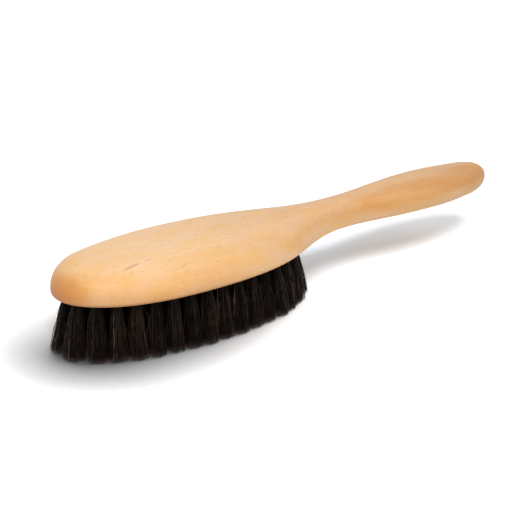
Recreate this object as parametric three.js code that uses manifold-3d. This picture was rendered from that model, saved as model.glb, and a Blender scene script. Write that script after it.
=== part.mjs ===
// A handled clothes brush, stood on its bristles: a stock shaped from one piece of beech, tufts of black
// bristle in rings that follow the head's outline, and the flat wire anchors that hold the tufts in their
// drilled holes. Millimetres, +Z up. The bristle tips are on z = 0, the toe of the head points to -X and the
// handle to +X, and the origin is under the middle of the brush's length. A station is a distance from
// the toe along the length.
import * as THREE from "three";
import { mergeVertices } from "three/addons/utils/BufferGeometryUtils.js";
import Module from "manifold-3d";

// Driving dimensions of the stock
const LENGTH = 250;
const HEAD = { station: 61.7, halfWidth: 29.3, toePower: 2.27 };
const NECK = { station: 148, halfWidth: 9.85 };
const HANDLE = { station: 209.7, halfWidth: 14.9, endPower: 1.72 };
const HEAD_TO_NECK = { leave: 0.664, arrive: 0.367 }; // reach of each end of the curve, as shares of it
const NECK_TO_HANDLE = { leave: 0.409, arrive: 0.544 };
const SPINE = { toe: 18, end: 236 }; // stations between which the sections stand square to the length
const TRIM = 25; // length of the bristles outside the wood
const THICKNESS = 16.5; // of the head at its widest
const TOP_RISE = [[SPINE.toe, -0.8], [61.7, 0], [148, -1.9], [209.7, -0.3], [SPINE.end, -0.7]];
const UNDERSIDE_RISE = [[122, 0], [148, 1.6], [209.7, -0.3], [SPINE.end, 0.4]];
const SECTION = { // at the head, and at the handle
  widestAt: [0.15, 0.5], // height of the widest line, as a share of the thickness
  topPower: [2.37, 2.15],
  lowerPower: [2.3, 2.15],
  lowerEdge: 4, // width of the rounded lower edge at the head
};
const BLEND_TO_HANDLE = [112, 210]; // stations over which the head's section turns into the handle's

// Driving dimensions of the bristle work
const FIELD = { corner: 100, heel: 129.5 }; // stations where the drilled field leaves the outline and ends
const TUFT_PITCH = 8.2;
// Each ring has its inset from the field's outline, the place of its first tuft as a share of the pitch, the
// lean of its tips outwards, and the number of strands that stand round each tuft's middle one.
const RINGS = [
  { name: "outer_ring", inset: 7.2, first: 0.5, flare: 2.5, around: 5 },
  { name: "second_ring", inset: 14.5, first: 0.5, flare: 1.4, around: 3 },
  { name: "third_ring", inset: 21.8, first: 0, flare: 0.7, around: 3 },
];
const END_LEAN = 1.3; // how much further the tufts that face the toe or the heel lean
const CENTRE_ROW = { name: "centre_row", from: 42, to: 82, around: 3 };
const BAND_EDGES = [3.4, 10.9, 18.3, 25.7]; // insets where the slices that carry the strands begin
const BACKING = 2; // thickness of those slices
const STRAND = { root: 0.6, tip: 1.3, rootSpread: 1.5, tipSpread: 2.9, sides: 3 };
const CUT = 0.5; // length that is cut off the strands to bring their tips level
const HOLE = { radius: 2.2, depth: 9, sides: 6 };
const FOLD = { width: 2.3, roof: 0.8 }; // the folded root of a tuft, and what of it lies over its anchor
const ANCHOR = { length: 4.8, width: 1.8, thickness: 0.45 };
const GAP = 0.3; // between any two pieces that touch
const ANCHORED_RINGS = [0, 2]; // rings whose anchors are modelled here; the others have the same piece again

// Fineness of the meshes
const STEPS = { toe: 13, middle: 17, end: 9, top: 8, lower: 3 };
const BAND_STEPS = 14;

const BEECH = new THREE.MeshStandardMaterial({ color: 0xe8bd85, roughness: 0.55, metalness: 0 });
const BRISTLE = new THREE.MeshStandardMaterial({ color: 0x15110f, roughness: 0.5, metalness: 0 });
const WIRE = new THREE.MeshStandardMaterial({ color: 0xb9b4a8, roughness: 0.35, metalness: 1 });

const wasm = await Module();
wasm.setup();

const mix = (pair, share) => pair[0] + (pair[1] - pair[0]) * share;
const toX = (station) => station - LENGTH / 2;

function smoothStep(from, to, value) {
  const t = THREE.MathUtils.clamp((value - from) / (to - from), 0, 1);
  return t * t * (3 - 2 * t);
}

// A height that eases from knot to knot and is level at each.
function ease(knots, station) {
  const next = knots.findIndex(([at]) => at > station);
  if (next === 0) return knots[0][1];
  if (next < 0) return knots[knots.length - 1][1];
  const [from, low] = knots[next - 1];
  const [to, high] = knots[next];
  return low + (high - low) * smoothStep(from, to, station);
}

// The side of the plan between two of its level places, as one Bezier curve.
function planCurve(a, b, reach) {
  const run = b.station - a.station;
  return new THREE.CubicBezierCurve(
    new THREE.Vector2(a.station, a.halfWidth),
    new THREE.Vector2(a.station + run * reach.leave, a.halfWidth),
    new THREE.Vector2(b.station - run * reach.arrive, b.halfWidth),
    new THREE.Vector2(b.station, b.halfWidth),
  );
}

const SHOULDER = planCurve(HEAD, NECK, HEAD_TO_NECK);
const GRIP = planCurve(NECK, HANDLE, NECK_TO_HANDLE);

function heightOf(curve, station) {
  let low = 0;
  let high = 1;
  for (let k = 0; k < 30; k++) {
    const t = (low + high) / 2;
    if (curve.getPoint(t).x < station) low = t;
    else high = t;
  }
  return curve.getPoint(low).y;
}

// Half the width of the stock, seen from above.
function planHalfWidth(station) {
  if (station <= 0 || station >= LENGTH) return 0;
  if (station < HEAD.station) {
    return HEAD.halfWidth * Math.sqrt(1 - (1 - station / HEAD.station) ** HEAD.toePower);
  }
  if (station < NECK.station) return heightOf(SHOULDER, station);
  if (station < HANDLE.station) return heightOf(GRIP, station);
  const past = (station - HANDLE.station) / (LENGTH - HANDLE.station);
  return HANDLE.halfWidth * Math.sqrt(1 - past ** HANDLE.endPower);
}

// Half the width of the drilled field: the plan, closed by a round heel.
function fieldHalfWidth(station) {
  if (station >= FIELD.heel) return 0;
  const past = Math.max(0, (station - FIELD.corner) / (FIELD.heel - FIELD.corner));
  return planHalfWidth(station) * Math.sqrt(1 - past ** 6);
}

// The field's half-width after its outline has moved inwards; negative past its ends.
function insetHalfWidth(station, inset) {
  const turns = 24;
  let half = Infinity;
  for (let k = 0; k <= turns; k++) {
    const angle = Math.PI * (k / turns - 0.5);
    const reach = fieldHalfWidth(station + inset * Math.sin(angle)) - inset * Math.cos(angle);
    half = Math.min(half, reach);
  }
  return half;
}

// The station where the inset outline closes, looked for between one inside it and one outside.
function closingStation(inside, outside, inset) {
  for (let k = 0; k < 40; k++) {
    const middle = (inside + outside) / 2;
    if (insetHalfWidth(middle, inset) > 0) inside = middle;
    else outside = middle;
  }
  return inside;
}

// The inset outline as points, from the toe along the -Y side to the heel, and back along +Y to the toe.
function insetOutline(inset, steps) {
  const toe = closingStation(HEAD.station, 0, inset);
  const heel = closingStation(HEAD.station, FIELD.heel, inset);
  const side = [];
  for (let k = 1; k < steps; k++) {
    const station = toe + ((heel - toe) * (1 - Math.cos((Math.PI * k) / steps))) / 2;
    side.push([station, insetHalfWidth(station, inset)]);
  }
  const near = side.map(([station, half]) => new THREE.Vector2(toX(station), -half));
  const far = side.map(([station, half]) => new THREE.Vector2(toX(station), half)).reverse();
  return [new THREE.Vector2(toX(toe), 0), ...near, new THREE.Vector2(toX(heel), 0), ...far];
}

// A closed mesh as a solid that can be joined and cut.
function solidOf(geometry) {
  const bare = geometry.clone();
  for (const name of Object.keys(bare.attributes)) if (name !== "position") bare.deleteAttribute(name);
  const merged = mergeVertices(bare, 1e-4);
  const corners = [];
  for (let k = 0; k < merged.index.count; k += 3) {
    const face = [merged.index.getX(k), merged.index.getX(k + 1), merged.index.getX(k + 2)];
    if (new Set(face).size === 3) corners.push(...face); // a face that has closed to a line is dropped
  }
  return new wasm.Manifold(
    new wasm.Mesh({
      numProp: 3,
      vertProperties: new Float32Array(merged.attributes.position.array),
      triVerts: new Uint32Array(corners),
    }),
  );
}

function geometryOf(solid) {
  const { vertProperties, triVerts, numProp } = solid.getMesh();
  const places = [];
  for (let k = 0; k < vertProperties.length; k += numProp) places.push(...vertProperties.subarray(k, k + 3));
  const geometry = new THREE.BufferGeometry();
  geometry.setAttribute("position", new THREE.Float32BufferAttribute(places, 3));
  geometry.setIndex([...triVerts]);
  geometry.computeVertexNormals();
  return geometry;
}

// Quads between neighbouring rings of points, each ring closed on itself, and a fan over both ends if they
// are open.
function skin(rings, capped) {
  const around = rings[0].length;
  const index = [];
  for (let r = 0; r + 1 < rings.length; r++) {
    for (let k = 0; k < around; k++) {
      const next = (k + 1) % around;
      const [a, b] = [r * around + k, r * around + next];
      const [c, d] = [a + around, b + around];
      index.push(a, b, d, a, d, c);
    }
  }
  if (capped) {
    const last = (rings.length - 1) * around;
    for (let k = 1; k + 1 < around; k++) index.push(0, k + 1, k, last, last + k, last + k + 1);
  }
  const geometry = new THREE.BufferGeometry();
  geometry.setAttribute("position", new THREE.Float32BufferAttribute(rings.flat(2), 3));
  geometry.setIndex(index);
  return geometry;
}

// Stations of the stock's plan, closer together round the toe and the end of the handle.
function planStations() {
  const stations = [];
  for (let k = 0; k < STEPS.toe; k++) {
    stations.push(HEAD.station * (1 - Math.cos(((Math.PI / 2) * k) / STEPS.toe)));
  }
  for (let k = 0; k < STEPS.middle; k++) {
    stations.push(mix([HEAD.station, HANDLE.station], k / STEPS.middle));
  }
  for (let k = 0; k <= STEPS.end; k++) {
    stations.push(mix([HANDLE.station, LENGTH], Math.sin(((Math.PI / 2) * k) / STEPS.end)));
  }
  return stations;
}

// One point of the stock's surface. Turn runs from -1 under the middle, through 0 at the widest line, to 1
// on top.
function stockPoint(station, side, turn) {
  const spine = THREE.MathUtils.clamp(station, SPINE.toe, SPINE.end);
  const handled = smoothStep(...BLEND_TO_HANDLE, spine);
  const low = TRIM + ease(UNDERSIDE_RISE, spine);
  const high = TRIM + THICKNESS + ease(TOP_RISE, spine);
  const widest = mix([low, high], mix(SECTION.widestAt, handled));
  const half = planHalfWidth(station);
  const reach = Math.hypot(station - spine, half);
  const angle = (Math.PI / 2) * Math.abs(turn);
  let out;
  let z;
  if (turn >= 0) {
    const power = mix(SECTION.topPower, handled);
    out = Math.cos(angle) ** (2 / power);
    z = widest + (high - widest) * Math.sin(angle) ** (2 / power);
  } else {
    const power = mix(SECTION.lowerPower, handled);
    const edge = Math.min(1, mix([SECTION.lowerEdge, reach], handled) / reach);
    out = 1 - edge * (1 - Math.cos(angle) ** (2 / power));
    z = widest - (widest - low) * Math.sin(angle) ** (2 / power);
  }
  return [toX(spine + (station - spine) * out), side * half * out, z];
}

function stockBody() {
  const stations = planStations();
  const around = [
    ...stations.map((station) => [station, -1]),
    ...stations.slice(1, -1).reverse().map((station) => [station, 1]),
  ];
  const turns = [];
  for (let k = STEPS.lower; k > 0; k--) turns.push(-k / STEPS.lower);
  for (let k = 0; k <= STEPS.top; k++) turns.push(k / STEPS.top);
  const rings = turns.map((turn) => around.map(([station, side]) => stockPoint(station, side, turn)));
  const spineUnder = rings[0].map(([x, , z]) => {
    const spine = THREE.MathUtils.clamp(x, toX(SPINE.toe), toX(SPINE.end));
    return [spine, 0, z];
  });
  rings.unshift(spineUnder);
  rings[rings.length - 1].forEach((point) => (point[1] = 0));
  return solidOf(skin(rings, false));
}

// The tufts of one ring, evenly spaced along it and alike on both sides of the toe, each with its outward
// direction.
function ringOfTufts({ inset, first, flare, around }) {
  const outline = insetOutline(inset, 120);
  const lengths = [0];
  outline.forEach((point, k) => {
    lengths.push(lengths[k] + point.distanceTo(outline[(k + 1) % outline.length]));
  });
  const whole = lengths[outline.length];
  const count = 2 * Math.round(whole / TUFT_PITCH / 2);
  const tufts = [];
  for (let n = 0; n < count; n++) {
    const travelled = (whole * (n + first)) / count;
    const k = lengths.findLastIndex((length) => length <= travelled);
    const [from, to] = [outline[k], outline[(k + 1) % outline.length]];
    const along = to.clone().sub(from);
    const share = (travelled - lengths[k]) / (lengths[k + 1] - lengths[k]);
    const root = from.clone().addScaledVector(along, share);
    const outwards = new THREE.Vector2(along.y, -along.x).normalize();
    const lean = flare + END_LEAN * outwards.x ** 2;
    tufts.push({ root, outwards, lean, around });
  }
  return tufts;
}

function centreRowOfTufts({ from, to, around }) {
  const count = Math.round((to - from) / TUFT_PITCH) + 1;
  const tufts = [];
  for (let n = 0; n < count; n++) {
    const root = new THREE.Vector2(toX(mix([from, to], n / (count - 1))), 0);
    tufts.push({ root, outwards: new THREE.Vector2(1, 0), lean: 0, around });
  }
  return tufts;
}

const facing = (tuft) => Math.atan2(tuft.outwards.y, tuft.outwards.x);

// A prism or tapered prism between two level regular polygons, each given by its middle, height and radius.
function prism(lower, upper, sides, turned) {
  const rings = [lower, upper].map(({ x, y, z, radius }) => {
    const corner = (k) => turned + (2 * Math.PI * (k + 0.5)) / sides;
    return Array.from({ length: sides }, (_, k) => [
      x + radius * Math.cos(corner(k)),
      y + radius * Math.sin(corner(k)),
      z,
    ]);
  });
  return solidOf(skin(rings, true));
}

// A box that stands square to the way a tuft faces: length across it, thickness along it.
function boxAt(tuft, length, thickness, from, to) {
  const box = new THREE.BoxGeometry(thickness, length, to - from);
  return box.rotateZ(facing(tuft)).translate(tuft.root.x, tuft.root.y, (from + to) / 2);
}

// One strand, from inside the backing to an end just past the trim plane, where it is cut level with the
// others. It stands at an angle round the tuft's middle, at a share of the tuft's spread.
function strand({ root, outwards, lean }, share, angle) {
  const out = new THREE.Vector2(Math.cos(angle), Math.sin(angle)).multiplyScalar(share);
  const top = root.clone().addScaledVector(out, STRAND.rootSpread);
  const tip = root.clone().addScaledVector(outwards, lean).addScaledVector(out, STRAND.tipSpread);
  return prism(
    { ...tip, z: -CUT, radius: STRAND.tip },
    { ...top, z: TRIM + BACKING / 2, radius: STRAND.root },
    STRAND.sides,
    angle,
  );
}

function strandsOf(tuft) {
  const first = facing(tuft) + Math.PI / tuft.around;
  const strands = [strand(tuft, 0, first)];
  for (let k = 0; k < tuft.around; k++) {
    strands.push(strand(tuft, 1, first + (2 * Math.PI * k) / tuft.around));
  }
  return strands;
}

// Heights inside a tuft's hole, from its floor down.
const HOLE_FLOOR = TRIM + HOLE.depth;
const FOLD_TOP = HOLE_FLOOR - GAP;
const ANCHOR_TOP = FOLD_TOP - FOLD.roof - GAP;
const ANCHOR_FOOT = ANCHOR_TOP - ANCHOR.width;

function anchorStrip(tuft) {
  return boxAt(tuft, ANCHOR.length, ANCHOR.thickness, ANCHOR_FOOT, ANCHOR_TOP);
}

// The space an anchor needs, through the fold of its tuft and into the wall of the hole on both sides.
function anchorSlot(tuft) {
  const [length, thickness] = [ANCHOR.length + 2 * GAP, ANCHOR.thickness + 2 * GAP];
  return solidOf(boxAt(tuft, length, thickness, ANCHOR_FOOT - GAP, ANCHOR_TOP + GAP));
}

// The root of a tuft, folded over its anchor.
function foldedRoot(tuft) {
  const column = boxAt(tuft, FOLD.width, FOLD.width, TRIM + BACKING / 2, FOLD_TOP);
  return solidOf(column).subtract(anchorSlot(tuft));
}

function tuftHole(tuft) {
  const end = (z) => ({ ...tuft.root, z, radius: HOLE.radius });
  return prism(end(TRIM), end(HOLE_FLOOR), HOLE.sides, facing(tuft));
}

// A flat plate between two insets of the field, or of everything within the outer one.
function plate(outerInset, innerInset, thickness) {
  const shape = new THREE.Shape(insetOutline(outerInset, BAND_STEPS));
  if (innerInset !== undefined) shape.holes.push(new THREE.Path(insetOutline(innerInset, BAND_STEPS)));
  const settings = { depth: thickness, bevelEnabled: false, curveSegments: 1 };
  return solidOf(new THREE.ExtrudeGeometry(shape, settings).translate(0, 0, TRIM));
}

// The recess in the head that takes the slices of backing. Its sides are the slices' own, a gap further out.
function recess() {
  return plate(BAND_EDGES[0] - GAP, undefined, BACKING + GAP);
}

function bristles(row, tufts) {
  const inner = BAND_EDGES[row + 1];
  const slice = plate(BAND_EDGES[row], inner === undefined ? undefined : inner - GAP, BACKING);
  const parts = tufts.flatMap((tuft) => [...strandsOf(tuft), foldedRoot(tuft)]);
  return wasm.Manifold.union([slice, ...parts]).trimByPlane([0, 0, 1], 0);
}

const brush = new THREE.Group();

function add(name, geometry, material) {
  const mesh = new THREE.Mesh(geometry, material);
  mesh.name = name;
  brush.add(mesh);
}

const rows = [...RINGS.map(ringOfTufts), centreRowOfTufts(CENTRE_ROW)];
const everyTuft = rows.flat();

const cutters = [recess(), ...everyTuft.map(tuftHole), ...everyTuft.map(anchorSlot)];
add("stock", geometryOf(stockBody().subtract(wasm.Manifold.union(cutters))), BEECH);

[...RINGS, CENTRE_ROW].forEach(({ name }, row) => {
  add("bristles_" + name, geometryOf(bristles(row, rows[row])), BRISTLE);
});

ANCHORED_RINGS.flatMap((ring) => rows[ring]).forEach((tuft, k) => {
  add("anchor_" + String(k + 1).padStart(2, "0"), anchorStrip(tuft), WIRE);
});

// Strands that crossed would lose volume when they are joined.
const strands = everyTuft.flatMap(strandsOf);
const apart = strands.reduce((sum, one) => sum + one.volume(), 0);
const joined = wasm.Manifold.union(strands).volume();
const crossing = (apart - joined).toFixed(3);
console.log(everyTuft.length + " tufts, " + strands.length + " strands, crossing by " + crossing);

export default brush;
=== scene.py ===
"""The stock is shaped from one piece of beech and drilled from below. Every hole holds a tuft of black
bristle, folded over a short strip of flat wire. Lengths are in metres, in the model's own frame: the toe
of the head points to -X, the handle to +X, and the bristle tips are on z = 0. A station is a distance from
the toe along the length.
"""

import math

import bmesh
import bpy
import numpy as np
from bpy.props import FloatProperty, FloatVectorProperty, IntProperty, PointerProperty
from bpy.types import Operator, Panel, PropertyGroup
from mathutils import Matrix, Vector


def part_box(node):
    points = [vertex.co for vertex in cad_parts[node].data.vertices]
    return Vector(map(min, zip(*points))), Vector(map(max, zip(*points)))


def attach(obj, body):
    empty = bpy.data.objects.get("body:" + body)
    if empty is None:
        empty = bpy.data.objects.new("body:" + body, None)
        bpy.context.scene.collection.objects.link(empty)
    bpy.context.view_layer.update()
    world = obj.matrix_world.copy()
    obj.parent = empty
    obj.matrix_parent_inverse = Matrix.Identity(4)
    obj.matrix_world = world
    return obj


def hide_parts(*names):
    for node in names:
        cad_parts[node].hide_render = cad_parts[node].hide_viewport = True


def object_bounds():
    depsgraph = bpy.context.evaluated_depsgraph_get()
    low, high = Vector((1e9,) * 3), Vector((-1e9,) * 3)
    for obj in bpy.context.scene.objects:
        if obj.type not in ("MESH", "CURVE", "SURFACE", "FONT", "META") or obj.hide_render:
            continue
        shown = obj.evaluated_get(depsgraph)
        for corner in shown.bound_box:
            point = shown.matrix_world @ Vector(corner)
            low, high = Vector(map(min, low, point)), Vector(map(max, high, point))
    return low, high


bl_info = {
    "name": "Clothes brush",
    "version": (1, 0, 0),
    "blender": (4, 5, 0),
    "location": "3D View > Sidebar > Clothes Brush",
    "description": "Dresses a clothes brush: its beech stock, its tufts of bristle and their wire anchors",
    "category": "Object",
}

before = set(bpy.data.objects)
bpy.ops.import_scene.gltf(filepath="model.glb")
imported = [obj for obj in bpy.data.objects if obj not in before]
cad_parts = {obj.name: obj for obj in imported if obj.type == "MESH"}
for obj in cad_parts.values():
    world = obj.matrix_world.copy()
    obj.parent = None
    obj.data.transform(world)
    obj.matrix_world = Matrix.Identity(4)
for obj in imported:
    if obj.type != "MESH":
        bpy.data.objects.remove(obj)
CAD_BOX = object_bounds()
STOCK_LOW, STOCK_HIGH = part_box("stock")
ANCHOR_LOW, ANCHOR_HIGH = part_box("anchor_01")
ANCHOR_NODES = sorted(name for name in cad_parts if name.startswith("anchor_"))

MM = 0.001
TINY = 1e-9  # the least length to divide by
SAME_PLACE = 1e-7  # points closer than this are joined

# Outline of the stock, seen from above. A power of 2 gives an ellipse, and a higher one is squarer.
TOE_X = STOCK_LOW.x
HEAD_STATION = 61.7 * MM  # where the head is widest
NECK_STATION = 148 * MM  # where the neck is narrowest
GRIP_STATION = 209.7 * MM  # where the grip is widest
TOE_POWER = 2.27
END_POWER = 1.72
HEAD_TO_NECK = (0.664, 0.367)  # reach of both ends of the curve, as shares of its length
NECK_TO_GRIP = (0.409, 0.544)
SPINE = (18 * MM, 236 * MM)  # stations between which the sections stand square to the length

# Side view of the stock: knots of station and rise, in mm, between which the height eases
TOP_RISE = ((18, -0.8), (61.7, 0), (148, -1.9), (209.7, -0.3), (236, -0.7))
UNDERSIDE_RISE = ((122, 0), (148, 1.6), (209.7, -0.3), (236, 0.4))

# Cross-section of the stock, at the head and at the handle
WIDEST_AT = (0.15, 0.5)  # height of the widest line, as a share of the thickness
TOP_POWER = (2.37, 2.15)
LOWER_POWER = (2.3, 2.15)
LOWER_EDGE = 4 * MM  # width of the rounded edge under the head
BLEND_TO_HANDLE = (112 * MM, 210 * MM)  # stations between which one section turns into the other

# Numbers of points that the shapes are worked out with
CURVE_STEPS = 1500
OUTLINE_STEPS = 2400
INSET_STEPS = 61
GRID_STATIONS = (40, 90, 30)  # over the toe, the middle and the end of the stock
GRID_RINGS = (5, 10, 40)  # on its underside, from there to its widest line, and over its top
SHARP_EDGE = math.radians(40)

# The drilled field and its rows of tufts
FIELD_CORNER = 100 * MM  # station from which the field narrows towards its heel
FIELD_HEEL = 129.5 * MM  # station where it ends
HEEL_POWER = 6
FULLEST_RING = "outer_ring"
RINGS = (  # name, inset from the field's outline, place of the first tuft in pitches, outward lean
    (FULLEST_RING, 7.2 * MM, 0.5, 2.5 * MM),
    ("second_ring", 14.5 * MM, 0.5, 1.4 * MM),
    ("third_ring", 21.8 * MM, 0.0, 0.7 * MM),
)
END_LEAN = 1.3 * MM  # how much further the tufts that face the toe or the heel lean
CENTRE_ROW = ("centre_row", 42 * MM, 82 * MM)  # name, and stations of the first and the last tuft
BARE_ROWS = ("second_ring", "centre_row")  # rows whose anchors are not among the model's nodes
FULL_RING_PIECES = 4  # the fullest ring is kept in this many pieces, and any other row in one

# The drill, whose point is a cone with a flat
DRILL_SIDES = 24
DRILL_START = 3 * MM  # how far under the wood it starts
DRILL_POINT = 0.4  # height of the cone, as a share of the drill's radius
DRILL_FLAT = 0.02  # radius of the flat, as a share of the drill's

# The flat wire of the anchors
ANCHOR_SIZE = (4.8 * MM, 0.45 * MM)  # length and thickness
ANCHOR_EDGE = 0.3  # height of the wire's rolled edges, as a share of its thickness

# How hairs lie in their tuft. Shares of the tuft are shares of half its width at the tips.
GOLDEN_ANGLE = math.pi * (3 - math.sqrt(5))  # turn from hair to hair that fills a disc evenly
RIM_CROWDING = 0.38  # 0.5 spreads the hairs evenly, and less crowds them towards the rim
PARTING = 0.3  # share of the hole's radius that the anchor keeps clear on either side
FOLD_RISE = 0.4 * MM  # height of the fold over the anchor
LOCKS = 26  # number of locks that the hairs gather into
GATHERING = 0.27  # how far a hair's tip moves towards the middle of its lock, as a share of the way
SCATTER = 0.08  # deviation of a hair's tip from its place, as a share of the tuft
TUFT_SPREAD = (0.93, 1.07)  # least and most that a tuft spreads, as a share of the usual
TUFT_SHIFT = 0.25 * MM  # deviation of a tuft's tips from the middle
BOW = 0.2  # how much faster a hair spreads at first than a straight one
BENDS = (0.3, 0.65, 1.0)  # shares of a hair's free length at which it has a point
WANDER = 0.14 * MM  # deviation of a hair's middle from its course
WAVE = 0.2 * MM  # deviation to one side and the other along a hair
HAIR_SIDES = 3
POINTS_IN_HOLE = 2  # points of a hair before the one where it leaves its hole

# How far the cut ends of the hairs stay from the floor
RIM_SHORT = 0.3 * MM  # at the rim of a tuft
HAIR_SHORT = 0.24 * MM  # deviation from hair to hair
LOCK_SHORT = 0.45 * MM  # deviation from lock to lock
TUFT_SHORT = 0.25 * MM  # most, for a whole tuft
STRAY_SHORT = 2.5 * MM  # most, for a stray hair

# Stray hairs
STRAYS = 0.05  # share of the hairs that stray
STRAY_SPREAD = (0.8, 1.35)  # least and most that they spread, as a share of the usual
STRAY_WANDER = 6  # how many times further they wander

# Tones of the hairs, from 0 for the blackest to 1 for the brownest
OWN_TONE = 0.75  # share of the tone that is a hair's own, and the rest is its lock's
PALE_HAIRS = 0.014  # share of the hairs that are pale
PALE_TONE = 1.2

# Late wood
RING_SPACING = 2.7  # in mm
RING_SCALE = 0.314  # scale at which a ring texture draws a ring in each unit
HEART = (0, -90, 30)  # shift, in mm, that puts the middle of the rings far out on the side of +Y

# Darker streaks in the wood: station, side, height, half length and half width in mm, turn in degrees,
# and strength
STREAKS = (
    (27.8, -14.7, 39.0, 5.6, 0.75, 7, 0.5),
    (36.5, -13.8, 39.7, 2.4, 0.5, 3, 0.25),
    (40.5, -3.9, 41.0, 3.0, 0.45, -6, 0.22),
    (26.4, -4.2, 40.7, 3.4, 0.4, -4, 0.18),
    (54.0, -4.4, 41.3, 2.0, 0.5, 0, 0.25),
    (50.0, -1.9, 41.3, 1.6, 0.5, 0, 0.2),
)
STREAK_DEPTH = 4  # half height of each

# Warm patches in the wood: station, side, height, half length, half width and half height in mm,
# and strength
HONEY = (
    (2, -6, 31, 14, 16, 9, 0.62),
    (8, -11, 40, 24, 18, 11, 0.27),
    (66, -23, 39, 42, 9, 10, 0.22),
    (106, -20, 38, 34, 11, 9, 0.27),
    (179, -10.5, 38.5, 51, 11, 12, 1.0),
    (226, -8.5, 39.5, 42, 11, 10, 0.85),
)

# Lamps: name, azimuth, elevation and width in the sky in degrees, and light on a level surface, where 1
# from all lamps and the sky together shows a colour as written
LAMPS = (
    ("window", 236, 50, 19, 0.5),
    ("back_lamp", 10, 72, 90, 0.3),
    ("side_lamp", 320, 45, 40, 0.05),
)

# Painted shade on the paper close to the brush, from how much of the sky the brush hides on the side of the
# handle
SHADE_SIDE = (math.radians(24), math.radians(27))  # azimuth and elevation of the middle of that sky
SHADE_REACH = 36 * MM
SHADE_COLOUR = "#444649"
SHADE_FULL = 0.35  # share of open sky at which the shade is full
SHADE_GONE = (0.975, 0.72)  # share of open sky at which it is gone, at the toe and at the heel
SHADE_CHANGES = (-110 * MM, -30 * MM)  # X between which that share changes

# How much brighter than written the camera sees the paper, so that only the deeper shade shows. Past the
# heel the gains take out the colour that the wood throws on it.
HEAD_GAIN = (1.18, 1.18, 1.18, 1)
NECK_GAIN = (1.1, 1.19, 1.28, 1)
GRIP_GAIN = (1.25, 1.31, 1.36, 1)
GAIN_CHANGES = (-10 * MM, 25 * MM, 110 * MM)  # X at which each of the three holds alone

FLOOR_HALF = 4.0  # half the width of the floor
SENSOR_WIDTH = 36  # of the camera, in mm
CLIP_START = 10 * MM


def linear(hex_colour):
    """An sRGB colour, written as hex, as a linear colour with full alpha."""
    channels = [int(hex_colour[k : k + 2], 16) / 255 for k in (1, 3, 5)]
    return (*[c / 12.92 if c <= 0.04045 else ((c + 0.055) / 1.055) ** 2.4 for c in channels], 1)


class StockSettings(PropertyGroup):
    """Sizes and colours of the beech stock."""

    length: FloatProperty(
        name="Length", description="From the toe of the head to the end of the handle",
        default=STOCK_HIGH.x - STOCK_LOW.x, unit="LENGTH",
    )
    head_width: FloatProperty(
        name="Head width", description="Across the head at its widest",
        default=STOCK_HIGH.y - STOCK_LOW.y, unit="LENGTH",
    )
    neck_width: FloatProperty(
        name="Neck width", description="Across the neck at its narrowest", default=19.7 * MM, unit="LENGTH",
    )
    grip_width: FloatProperty(
        name="Grip width", description="Across the grip at its widest", default=29.8 * MM, unit="LENGTH",
    )
    top: FloatProperty(
        name="Top height", description="Height of the head's top above the bristle tips",
        default=STOCK_HIGH.z, unit="LENGTH",
    )
    thickness: FloatProperty(
        name="Head thickness", description="Thickness of the head at its widest",
        default=16.5 * MM, unit="LENGTH",
    )
    hole_radius: FloatProperty(
        name="Hole radius", description="Radius of the drilled tuft holes", default=2.2 * MM, unit="LENGTH",
    )
    hole_depth: FloatProperty(
        name="Hole depth", description="Depth of the drilled tuft holes", default=9 * MM, unit="LENGTH",
    )
    pinkish: FloatVectorProperty(
        name="Pinkish wood", description="One of the two colours that drift into each other",
        subtype="COLOR", size=4, default=linear("#ECC59D"), min=0, max=1,
    )
    yellowish: FloatVectorProperty(
        name="Yellowish wood", description="The other of the two colours that drift into each other",
        subtype="COLOR", size=4, default=linear("#EBBD7F"), min=0, max=1,
    )


class TuftSettings(PropertyGroup):
    """Sizes, numbers and colours of the bristle tufts."""

    pitch: FloatProperty(
        name="Pitch", description="Distance from tuft to tuft along a row", default=8.2 * MM, unit="LENGTH",
    )
    fan: FloatProperty(
        name="Fan", description="How far a tuft's tips spread to each side, across its row",
        default=4.4 * MM, unit="LENGTH",
    )
    overlap: FloatProperty(
        name="Overlap", default=0.5,
        description="How far a tuft's tips spread along its row, as a share of the tips' spacing",
    )
    hair_root: FloatProperty(
        name="Hair thickness", description="Thickness of a bristle at its root",
        default=0.27 * MM, unit="LENGTH", precision=5,
    )
    hair_tip: FloatProperty(
        name="Tip thickness", description="Thickness of a bristle at its tip",
        default=0.19 * MM, unit="LENGTH", precision=5,
    )
    outer_hairs: IntProperty(
        name="Outer hairs", description="Bristle ends in each tuft of the outer ring", default=240, min=10,
    )
    inner_hairs: IntProperty(
        name="Inner hairs", description="Bristle ends in each tuft of the other rows", default=110, min=10,
    )
    black: FloatVectorProperty(
        name="Black hair", description="Colour of the blackest hairs",
        subtype="COLOR", size=4, default=linear("#0B0402"), min=0, max=1,
    )
    brown: FloatVectorProperty(
        name="Brown hair", description="Colour of the brownest hairs",
        subtype="COLOR", size=4, default=linear("#45382C"), min=0, max=1,
    )
    seed: IntProperty(name="Seed", description="Start of the random numbers", default=7)


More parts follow.
